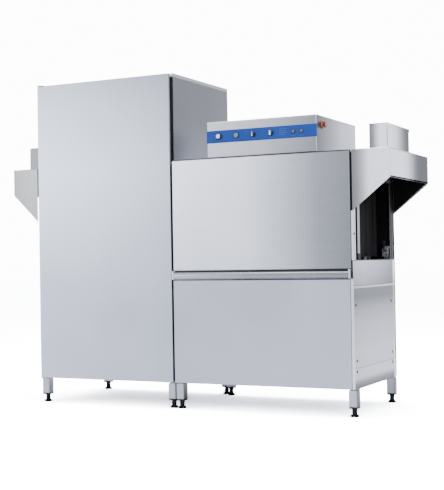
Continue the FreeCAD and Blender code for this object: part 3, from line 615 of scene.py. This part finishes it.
def make_entry_end():
    """The end sheets under the tunnel mouth: a dark strip on the sill that is painted shade, and a bright
    flange along the back that is a painted highlight.
    """
    body, low, high = span_of("entry_end_panels")
    sheets = Piece("entry_end_panels_folded")
    side_sheet_top = 0.75
    for part in solids_of("entry_end_panels"):
        top = box_of(part)[1].z
        soften(part, 0.0009, 3)
        sheets.add(part, steel_sill if top > side_sheet_top else steel_end)
    face = 1.039
    sunk = face - 0.0005
    front, rear = -0.376, 0.341
    base, sill_top, sill_shade, flange = low.z, 0.870, 0.0045, 0.024
    sill_shade_base = sill_top - sill_shade
    # Dark strip along the top of the sill: painted shade.
    sheets.box((sunk, front, sill_shade_base), (face + 0.0012, high.y, sill_top), dark_steel_and_shade, 0.0005)
    # Bright flange along the back edge: painted highlight on the back fold. The dark strip past it is painted
    # shade.
    sheets.box((sunk, rear - flange, base), (face + 0.0006, rear, sill_shade_base), steel_highlight_bright, 0.0005)
    sheets.box((face + 0.0001, rear, base), (face + 0.0010, high.y + 0.003, sill_shade_base), dark_steel_and_shade, 0.0003)
    # Polished line down the front fold: painted highlight.
    fold_highlight_front = -0.3806
    sheets.box((1.0225, fold_highlight_front, base + 0.002), (sunk, fold_highlight_front + 0.001, 0.765), steel_polished, 0.0003)
    # Black strip in the gap between the wash door and the hood: painted shade.
    gap_shade_front = -0.3775
    sheets.box((1.0275, gap_shade_front, 1.142), (sunk, gap_shade_front + 0.002, 1.462), black_shade_and_ink, 0.0005)
    add_mouth_shade_sleeves(sheets)
    sheets.finish(body, "stainless", "entry_end_panels")


def add_mouth_shade_sleeves(piece):
    """Dark sleeves over the two posts of the tunnel mouth and black sheets behind it, all painted shade, and
    a black plate at the foot of the front one.
    """
    inner, outer = 0.9955, 1.0366
    sill, head, shield_top = 0.872, 1.461, 1.330
    rear_start, rear_stop = 0.3162, 0.3566
    piece.box((inner, -0.3345, sill), (outer, -0.2962, head), black_shade_and_ink, 0.0008)
    piece.box((inner, rear_start, sill), (outer, rear_stop, head), dark_steel_and_shade, 0.0008)
    piece.box((outer - 0.0004, -0.2958, 0.870), (outer + 0.0022, -0.2565, 0.906), black_plastic, 0.0008)
    # Black sheet behind the mouth and dark strips on the rear post: painted shade.
    piece.box((0.905, 0.3085, sill), (1.0335, 0.3115, shield_top), black_shade_and_ink, 0.0005)
    piece.box((1.0361, 0.2872, sill), (1.0369, rear_start, shield_top), black_plastic, 0.0003)
    piece.box((outer, rear_stop, sill), (1.0396, 0.3602, head), dark_steel_and_shade, 0.0005)


def add_louvres(piece, x, y, z, width=0.16, count=5, pitch=0.022, depth=0.0015):
    """Pressed louvres, each a low hood open at its lower edge."""
    left, right = x - width / 2, x + width / 2
    root, shoulder, rise, end_gap, slot = y - 0.001, 0.006, 0.012, 0.003, 0.0022
    for step in range(count):
        base = z + step * pitch
        outline = [(root, base), (y + depth, base), (y + depth * 0.7, base + shoulder), (root, base + rise)]
        piece.prism(outline, 0, (left, right), steel_flat, 0.0006)
        # Black strip in each louvre's opening: painted shade.
        piece.box((left + end_gap, y - 0.0005, base - slot), (right - end_gap, y + 0.0003, base),
                  black_shade_and_ink, 0)


# ---------------------------------------------------------------- hoods and vent collars
def add_shell(piece, polygons, thickness, radius, outside, inside, ends, segments=4):
    """Folded sheet: the outer faces given, their folds rounded, and an inner skin a sheet's thickness in.

    The outer faces that look along X take the material ends.
    """
    part = bmesh.new()
    verts = {}
    for polygon in polygons:
        keys = [tuple(round(c, 6) for c in corner) for corner in polygon]
        for key in keys:
            if key not in verts:
                verts[key] = part.verts.new(key)
        part.faces.new([verts[key] for key in keys])
    bmesh.ops.recalc_face_normals(part, faces=part.faces)
    middle = sum((vert.co for vert in part.verts), Vector()) / len(part.verts)
    outward = sum((face.calc_center_median() - middle).dot(face.normal) * face.calc_area()
                  for face in part.faces)
    if outward < 0:
        bmesh.ops.reverse_faces(part, faces=part.faces)
    bmesh.ops.bevel(part, geom=folds_of(part, 0.3), offset=radius, segments=segments, profile=0.5,
                    affect="EDGES")
    part.normal_update()
    rim = [tuple(edge.verts) for edge in part.edges if len(edge.link_faces) == 1]
    outer_faces = list(part.faces)
    inner = {vert: part.verts.new(vert.co - vert.normal * thickness * vert.calc_shell_factor())
             for vert in list(part.verts)}
    for face in outer_faces:
        part.faces.new([inner[vert] for vert in reversed(face.verts)]).material_index = 1
    for a, b in rim:
        part.faces.new((a, b, inner[b], inner[a]))
    bmesh.ops.recalc_face_normals(part, faces=part.faces)
    for face in outer_faces:
        if abs(face.normal.x) > 0.7:
            face.material_index = 2
    for index, material in enumerate((outside, inside, ends)):
        chosen = part.copy()
        others = [face for face in chosen.faces if face.material_index != index]
        bmesh.ops.delete(chosen, geom=others, context="FACES")
        piece.add(chosen, material)
    part.free()


def collar_box(toward):
    """Lowest and highest corners of the vent collar at the end named by toward."""
    spans = [box_of(part) for part in solids_of("vent_collars")]
    walls = [span for span in spans if toward * span[0].x > 0]
    low = [min(span[0][i] for span in walls) for i in range(3)]
    high = [max(span[1][i] for span in walls) for i in range(3)]
    return Vector(low), Vector(high)


def make_hood(node, toward):
    """toward is 1 at the entry end and -1 at the exit end: the way the hood points."""
    body, low, high = span_of(node)
    inner_x, outer_x = (low.x, high.x) if toward > 0 else (high.x, low.x)
    end_bottom = 1.318
    hole_low, hole_high = collar_box(toward)
    hood = Piece(f"{node}_folded")
    front, back, top = low.y, high.y, high.z
    outer = [(inner_x, front, top), (outer_x, front, top), (outer_x, back, top), (inner_x, back, top)]
    near, far = (hole_low.x, hole_high.x) if toward > 0 else (hole_high.x, hole_low.x)
    hole_front, hole_back = hole_low.y, hole_high.y
    hole = [(near, hole_front, top), (far, hole_front, top), (far, hole_back, top), (near, hole_back, top)]
    faces = [[outer[i], outer[(i + 1) % 4], hole[(i + 1) % 4], hole[i]] for i in range(4)]
    faces.append([(outer_x, front, top), (outer_x, back, top), (outer_x, back, end_bottom),
                  (outer_x, front, end_bottom)])
    for y in (front, back):
        faces.append([(inner_x, y, top), (outer_x, y, top), (outer_x, y, end_bottom), (inner_x, y, low.z)])
    # The inner skin is black: painted shade inside the hood.
    add_shell(hood, faces, 0.0016, 0.003, steel_hood, black_shade_and_ink, steel_hood_end)
    hem, hem_height, corner, sunk = 0.0025, 0.010, 0.006, 0.0002
    near, far = sorted((outer_x - toward * hem, outer_x))
    hood.box((near, front + corner, end_bottom), (far, back - corner, end_bottom + hem_height), steel_flat,
             0.0008)
    slope = (end_bottom - low.z) / abs(outer_x - inner_x)
    corner_x = outer_x - toward * corner
    edge = [(inner_x, low.z), (corner_x, end_bottom - slope * corner), (corner_x, end_bottom + hem_height),
            (inner_x, low.z + 0.012)]
    for y in (front + sunk, back - hem - sunk):
        hood.prism(edge, 1, (y, y + hem), steel_flat, 0.0008)
    # Dark line along the top of the end face: painted shade of the fold.
    near, far = sorted((outer_x - toward * 0.0005, outer_x + toward * 0.0004))
    hood.box((near, front + 0.004, top - 0.0055), (far, back - 0.004, top - 0.0030), dark_steel_and_shade, 0.0002)
    hood.finish(body, "stainless", node)


def make_vent_collars():
    """Each collar has a folded rim, dark lines of painted shade round the rim and dark lines down its two
    front corners.
    """
    collars = Piece("vent_collars_folded")
    rim, rim_height, sunk, lip, seam = 0.0022, 0.016, 0.0005, 0.0008, 0.0016
    for toward in (1, -1):
        low, high = collar_box(toward)
        middle = middle_of(low, high)
        corners = [(low.x, low.y), (high.x, low.y), (high.x, high.y), (low.x, high.y)]
        for bottom, top, grow in ((low.z, high.z - 0.004, 0), (high.z - rim_height, high.z, rim)):
            ring = [(x + math.copysign(grow, x - middle.x), y + math.copysign(grow, y - middle.y))
                    for x, y in corners]
            walls = [[(*a, bottom), (*b, bottom), (*b, top), (*a, top)]
                     for a, b in zip(ring, ring[1:] + ring[:1])]
            # The inner skin is black: painted shade inside the collar.
            add_shell(collars, walls, 0.0018, 0.004, steel_collar, black_shade_and_ink, steel_hood_end)
        # Dark lines round the top of the rim: painted shade.
        line_base, line_top = high.z - 0.0032, high.z + 0.0002
        for y, side in ((low.y - rim, -1), (high.y + rim, 1)):
            near, far = sorted((y - side * sunk, y + side * lip))
            collars.box((low.x - rim, near, line_base), (high.x + rim, far, line_top), dark_steel_and_shade, 0.0003)
        for x, side in ((low.x - rim, -1), (high.x + rim, 1)):
            near, far = sorted((x - side * sunk, x + side * lip))
            collars.box((near, low.y - rim, line_base), (far, high.y + rim, line_top), dark_steel_and_shade, 0.0003)
        for x in (low.x, high.x):
            profile = [(0, seam), (high.z - low.z - rim_height - 0.002, seam)]
            collars.lathe((x, low.y, low.z), (0, 0, 1), profile, dark_steel_and_shade, 12)
    collars.finish(body_of("vent_collars"), "stainless", "vent_collars")


# ---------------------------------------------------------------- control box
OUT = Vector((0, -1, 0))     # the way the controls on the front point


def make_control_box():
    body, low, high = span_of("control_box")
    box_back = high.y - 0.007
    box = Piece("control_box_case")
    plinth, inset, seam, lid = 0.009, 0.010, 0.0008, 0.014
    plinth_top = low.z + plinth
    # Recessed black plinth: painted shade under the box.
    box.box((low.x + inset, low.y + inset, low.z), (high.x - inset, box_back - inset, plinth_top),
            black_shade_and_ink)
    box.box((low.x + seam, low.y + seam, plinth_top), (high.x - seam, box_back - seam, high.z - 0.003),
            steel_box, 0.004, 4)
    box.box((low.x, low.y, high.z - lid), (high.x, box_back, high.z), steel_box, 0.004, 4)
    for row in (1.56, 1.59, 1.62):
        add_louvres(box, (low.x + high.x) / 2, box_back, row, 0.20, 1)
    for x in (low.x + 0.03, high.x - 0.03):
        for y in (low.y + 0.06, box_back - 0.06):
            screw_head(box, (x, y, high.z), (0, 0, 1), steel_polished, 0.005, 0.002)
    cable_gland = (0.700, box_back, 1.530)
    ring = [(0, 0.012), (0, 0.016), (0.004, 0.016), (0.007, 0.0145), (0.007, 0.012)]
    box.lathe(cable_gland, (0, 1, 0), ring, black_plastic, 32, closed=True)
    box.finish(body, "stainless", "control_box")


def make_fascia():
    """The blue strip with plain dashes where its legends are, and the fixed ring round the start key."""
    body, low, high = span_of("control_fascia")
    strip = Piece("control_fascia_film")
    strip.box(low, high, blue_film, 0.0007, 3)
    ink = low.y - 0.0002
    legends = [(0.188, 0.030), (0.300, 0.022), (0.409, 0.030), (0.522, 0.026), (0.663, 0.026), (0.714, 0.026)]
    for x, width in legends:
        strip.box((x - width / 2, ink, 1.5845), (x + width / 2, low.y, 1.5870), white_ink, 0)
    lines_x, first_line, line_pitch, half_line = 0.574, 1.631, 0.011, 0.0015
    for line, width in enumerate((0.052, 0.044, 0.050, 0.036)):
        z = first_line - line * line_pitch
        strip.box((lines_x, ink, z - half_line), (lines_x + width, low.y, z + half_line), white_ink, 0)
    key_low, key_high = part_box("start_button")
    key = middle_of(key_low, key_high)
    bore = (key_high.x - key_low.x) / 2 + 0.0008
    ring = [(0, bore), (0, bore + 0.0030), (0.0045, bore + 0.0026), (0.0055, bore + 0.0012), (0.0055, bore)]
    strip.lathe((key.x, low.y, key.z), OUT, ring, dark_steel_and_shade, 36, closed=True)
    strip.finish(body, "blue_film", "control_fascia")


def control_seat(node):
    """The control's body, its centre on the film's face, its radius, and the Y that its tip reaches."""
    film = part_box("control_fascia")[0].y
    body, low, high = span_of(node)
    centre = middle_of(low, high)
    return body, Vector((centre.x, film, centre.z)), (high.x - low.x) / 2, low.y


def add_pointer(knob, face, tip, foot, top):
    """Thin dark line on the front of a knob's grip, from foot to top above its centre."""
    half = 0.0007
    knob.box((face.x - half, tip - 0.0002, face.z + foot), (face.x + half, tip + 0.001, face.z + top),
             black_shade_and_ink, 0)


def make_power_knob():
    body, face, _, tip = control_seat("power_knob")
    knob = Piece("power_knob_turned")
    base = 0.005
    knob.lathe(face, OUT, [(0, 0.0190), (0.0035, 0.0190), (base, 0.0175), (base, 0)], black_plastic)
    stem = [(0, 0.0130), (0.013, 0.0128), (0.0148, 0.0115), (0.015, 0)]
    knob.lathe(face + OUT * base, OUT, stem, steel_polished)
    half_width, half_height = 0.0024, 0.0118
    knob.box((face.x - half_width, tip, face.z - half_height),
             (face.x + half_width, tip + 0.0060, face.z + half_height), steel_polished, 0.0014, 3)
    add_pointer(knob, face, tip, 0.004, 0.0108)
    knob.finish(body, "silver_knob", "power_knob")


def make_start_button():
    body, face, radius, tip = control_seat("start_button")
    button = Piece("start_button_moulded")
    depth = face.y - tip
    shoulder, rim = depth * 0.55, radius - 0.002
    rise = [(0.004, radius), (depth * 0.50, radius), (shoulder, radius - 0.0008), (shoulder, 0)]
    button.lathe(face, OUT, rise, grey_plastic)
    dome = [(0, rim), (depth * 0.35, rim), (depth * 0.43, radius - 0.0035), (depth * 0.45, 0)]
    button.lathe(face + OUT * shoulder, OUT, dome, green_plastic)
    button.finish(body, "green_button", "start_button")


def make_selector(node, grip_material):
    body, face, radius, tip = control_seat(node)
    knob = Piece(f"{node}_turned")
    base, skirt = 0.004, radius - 0.0022
    flange = [(0, radius), (0.002, radius), (base, radius - 0.002), (base, 0)]
    knob.lathe(face, OUT, flange, black_plastic)
    depth = face.y - tip
    drum_end = depth * 0.36
    drum = [(0, skirt), (depth * 0.3, skirt - 0.0006), (drum_end, skirt - 0.002), (drum_end, 0)]
    knob.lathe(face + OUT * base, OUT, drum, dark_steel_and_shade)
    half_width, half_height = 0.0036, skirt - 0.0006
    knob.box((face.x - half_width, tip, face.z - half_height),
             (face.x + half_width, face.y - 0.005, face.z + half_height), grip_material, 0.0018, 3)
    add_pointer(knob, face, tip, 0.003, skirt - 0.003)
    knob.finish(body, "silver_knob", node)


def make_pilot_lamps():
    lamps = Piece("pilot_lamps_lensed")
    for part in solids_of("pilot_lamps"):
        low, high = box_of(part)
        part.free()
        centre = middle_of(low, high)
        face = Vector((centre.x, high.y, centre.z))
        radius = (high.x - low.x) / 2
        bore = radius - 0.003
        bezel = [(0, radius), (0.003, radius), (0.0042, radius - 0.0015), (0.0042, bore), (0, bore)]
        lamps.lathe(face, OUT, bezel, dark_steel_and_shade, 36, closed=True)
        lens = [(0, bore), (0.004, bore), (0.0062, bore - 0.0015), (0.0075, bore - 0.0045), (0.008, 0)]
        lamps.lathe(face, OUT, lens, amber)
    lamps.finish(body_of("pilot_lamps"), "amber_lens", "pilot_lamps")


def make_emergency_stop():
    body, low, high = span_of("estop_base")
    centre = middle_of(low, high)
    radius, depth = (high.y - low.y) / 2, high.x - low.x
    ring = Piece("estop_base_ring")
    profile = [(0, radius), (depth * 0.6, radius), (depth * 0.9, radius - 0.002), (depth, radius - 0.005),
               (depth, 0)]
    ring.lathe((low.x, centre.y, centre.z), (1, 0, 0), profile, orange)
    ring.finish(body, "estop_orange", "estop_base")

    body, low, high = span_of("estop_button")
    centre = middle_of(low, high)
    seat = (low.x, centre.y, centre.z)
    radius, depth = (high.y - low.y) / 2, high.x - low.x
    cap = Piece("estop_button_cap")
    stem, neck, face = 0.010, depth - 0.010, depth - 0.0010
    profile = [(0, stem), (neck, stem), (neck, radius - 0.001), (neck + 0.002, radius),
               (neck + 0.005, radius), (depth - 0.002, radius - 0.003), (face, radius - 0.007), (face, 0)]
    cap.lathe(seat, (1, 0, 0), profile, dark_red)
    sunk = face - 0.0001
    crown = [(sunk, radius - 0.0055), (depth, radius - 0.0065), (depth, radius - 0.0105),
             (sunk, radius - 0.0115)]
    cap.lathe(seat, (1, 0, 0), crown, orange, closed=True)
    cap.finish(body, "estop_red", "estop_button")


def make_controls():
    make_power_knob()
    make_start_button()
    make_selector("mode_knob", steel_tube)
    make_selector("fill_knob", white_plastic)
    make_pilot_lamps()
    make_emergency_stop()
    refine("control_gear", grey_plastic, "grey_plastic", 0.0012)


# ---------------------------------------------------------------- curtains
def make_curtain(node):
    """Overlapping rubber strips on a rod, each hanging with its own slight bow."""
    body, low, high = span_of(node)
    x = (low.x + high.x) / 2
    rod = (high.x - low.x) / 2
    length, chamfer = high.y - low.y, 0.0006
    curtain = Piece(f"{node}_strips")
    turned = [(0, rod - chamfer), (chamfer, rod), (length - chamfer, rod), (length, rod - chamfer)]
    curtain.lathe((x, low.y, high.z - rod), (0, 1, 0), turned, steel_tube, 24)
    strips, rows, columns = 8, 18, 6
    free_edge, overlap, half_thickness = 0.237, 0.004, 0.0011
    stagger, cup_depth, sway_depth = 0.0012, 0.0011, 0.0014
    pitch = (free_edge - low.y) / strips
    for strip in range(strips):
        side = 1 if strip % 2 else -1
        start = low.y + strip * pitch - (overlap if strip else 0)
        stop = low.y + (strip + 1) * pitch
        across = [start + (stop - start) * column / columns for column in range(columns + 1)]
        rings = []
        for row in range(rows + 1):
            t = row / rows
            z = high.z - rod - t * (high.z - rod - low.z)
            sway = sway_depth * math.sin(3.1 * t + strip * 1.7) * t
            bows = [side * cup_depth * math.sin(math.pi * column / columns) * t
                    for column in range(columns + 1)]
            middles = [x + side * stagger + sway + bow for bow in bows]
            front = [(middle - half_thickness, y, z) for middle, y in zip(middles, across)]
            rear = [(middle + half_thickness, y, z) for middle, y in zip(middles, across)]
            rings.append(front + rear[::-1])
        curtain.loft(rings, rubber)
    curtain.finish(body, "black_rubber", node)


# ---------------------------------------------------------------- inside
def make_inside():
    finishes = [
        ("wash_chamber_liner", steel_inner, "stainless", 0.0006),
        ("dryer_liner", steel_inner, "stainless", 0.0006),
        ("wash_tank", steel_inner, "stainless", 0.0006),
        ("strainer_trays", steel_tube, "stainless", 0.0006),
        ("lower_wash_arms", steel_polished, "stainless", 0.0015),
        ("upper_wash_arms", steel_polished, "stainless", 0.0015),
        ("final_rinse_arms", steel_polished, "stainless", 0.0008),
        ("wash_pump", motor_paint, "motor_paint", 0.0020),
        ("pump_rotor", steel_tube, "frame_steel", 0.0006),
        ("wash_pipework", steel_inner, "stainless", 0.0008),
        ("booster_heater", steel_tube, "stainless", 0.0015),
        ("overflow_pipe", grey_plastic, "grey_plastic", 0.0010),
        ("pawl_bar", steel_polished, "stainless", 0.0010),
        ("entry_pawl", white_plastic, "grey_plastic", 0.0012),
        ("exit_pawl", white_plastic, "grey_plastic", 0.0012),
        ("drive_crank", steel_tube, "frame_steel", 0.0010),
        ("gearmotor", motor_paint, "motor_paint", 0.0020),
        ("rack_switch_lever", dark_steel_and_shade, "frame_steel", 0.0006),
        ("air_plenum", steel_inner, "stainless", 0.0008),
        ("blower_housing", motor_paint, "motor_paint", 0.0012),
        ("blower_wheel", steel_tube, "frame_steel", 0.0005),
        ("heater_coil", copper, "copper_coil", 0.0006),
    ]
    for node, material, slot, radius in finishes:
        refine(node, material, slot, radius)

    body, low, high = span_of("track_rails")
    rails = Piece("track_rails_capped")
    rails.copy_node("track_rails", steel_polished, 0.0012)
    half_cap, shortest_rail = 0.001, 1.0
    for part in solids_of("track_rails"):
        end_low, end_high = box_of(part)
        part.free()
        ends = (end_low.x, end_high.x) if end_high.x - end_low.x > shortest_rail else ()
        for x in ends:
            rails.box((x - half_cap, end_low.y, end_low.z), (x + half_cap, end_high.y, end_high.z),
                      black_plastic, 0.0005)
    rails.finish(body, "stainless", "track_rails")

    body, low, high = span_of("rack_switch")
    switch = Piece("rack_switch_bracketed")
    switch.copy_node("rack_switch", steel_inner, 0.0015)
    # Black discs: painted shade in the bracket's two holes.
    hole = [(0, 0.0045), (0.0003, 0.0045), (0.0003, 0)]
    for height in (0.898, 0.922):
        switch.lathe((high.x, 0.281, height), (1, 0, 0), hole, black_shade_and_ink, 24)
        switch.lathe((1.015, low.y, height), (0, -1, 0), hole, black_shade_and_ink, 24)
    switch.finish(body, "black_plastic", "rack_switch")


# ---------------------------------------------------------------- stage
def when_seen(tree, plain, seen):
    """The socket plain for light that bounces, and the grey level seen for what the eye meets first."""
    path = tree.nodes.new("ShaderNodeLightPath")
    mix = tree.nodes.new("ShaderNodeMix")
    mix.data_type = "RGBA"
    mix.inputs["B"].default_value = (seen, seen, seen, 1)
    tree.links.new(path.outputs["Is Camera Ray"], mix.inputs["Factor"])
    tree.links.new(plain, mix.inputs["A"])
    return mix.outputs["Result"]


def make_floor():
    material = bpy.data.materials.new("pale_floor")
    material.use_nodes = True
    tree = material.node_tree
    tree.nodes.clear()
    output = tree.nodes.new("ShaderNodeOutputMaterial")
    diffuse = tree.nodes.new("ShaderNodeBsdfDiffuse")
    pale = tint(tree, noise(tree, 1.5, 2), (0.80, 0.80, 0.82), (0.83, 0.83, 0.85))
    tree.links.new(when_seen(tree, pale, 10.0), diffuse.inputs["Color"])
    tree.links.new(diffuse.outputs["BSDF"], output.inputs["Surface"])
    mesh = bpy.data.meshes.new("floor")
    reach = 40
    mesh.from_pydata([(-reach, -reach, 0), (reach, -reach, 0), (reach, reach, 0), (-reach, reach, 0)], [],
                     [(0, 1, 2, 3)])
    mesh.materials.append(material)
    floor = bpy.data.objects.new("floor", mesh)
    bpy.context.scene.collection.objects.link(floor)


def make_world():
    """White studio walls with darker stretches, so that the steel has something to reflect."""
    world = bpy.data.worlds.new("soft_studio")
    world.use_nodes = True
    tree = world.node_tree
    place = tree.nodes.new("ShaderNodeTexCoord")
    split = tree.nodes.new("ShaderNodeSeparateXYZ")
    bearing = tree.nodes.new("ShaderNodeMath")
    bearing.operation = "ARCTAN2"
    # bearing in degrees from +Y towards +X, and how bright the wall is there
    walls = [(-180, 0.75), (-166, 1.0), (-160, 0.36), (-156, 0.38), (-151, 0.55), (-138, 0.46), (-110, 0.38),
             (-60, 0.32), (0, 0.29), (11, 0.50), (15, 1.0), (20, 1.0), (24, 0.20), (38, 0.14), (55, 0.21),
             (90, 0.35), (180, 0.75)]
    stops = [((degrees + 180) / 360, (level * 0.96, level * 0.99, level * 1.05)) for degrees, level in walls]
    tree.links.new(place.outputs["Generated"], split.inputs["Vector"])
    tree.links.new(split.outputs["X"], bearing.inputs[0])
    tree.links.new(split.outputs["Y"], bearing.inputs[1])
    turn = remapped(tree, bearing.outputs[0], (-math.pi, math.pi))
    background = tree.nodes["Background"]
    background.inputs["Strength"].default_value = 3.0
    tree.links.new(when_seen(tree, ramped(tree, turn, stops), 4.5), background.inputs["Color"])
    bpy.context.scene.world = world


def make_lights():
    lights = [
        ("key", (4.5, -4.5, 4.2), (0.2, 0, 1.0), 3.0, 120),
        ("fill", (-4.5, -5.0, 2.6), (-0.5, 0, 1.0), 3.0, 90),
        ("top", (0, 0.5, 5.5), (0, 0, 1.0), 4.0, 400),
    ]
    for name, place, target, size, power in lights:
        data = bpy.data.lights.new(name, "AREA")
        data.shape = "SQUARE"
        data.size = size
        data.energy = power
        light = bpy.data.objects.new(name, data)
        light.location = place
        light.rotation_euler = (Vector(target) - Vector(place)).to_track_quat("-Z", "Y").to_euler()
        bpy.context.scene.collection.objects.link(light)


make_frames()
make_wash_door()
make_dryer_door()
make_casing()
make_hood("entry_hood", 1)
make_hood("exit_hood", -1)
make_vent_collars()
make_control_box()
make_fascia()
make_controls()
for curtain_node in ("entry_curtain", "middle_curtain", "exit_curtain"):
    make_curtain(curtain_node)
make_inside()
make_floor()
make_world()
make_lights()

bpy.context.view_layer.update()
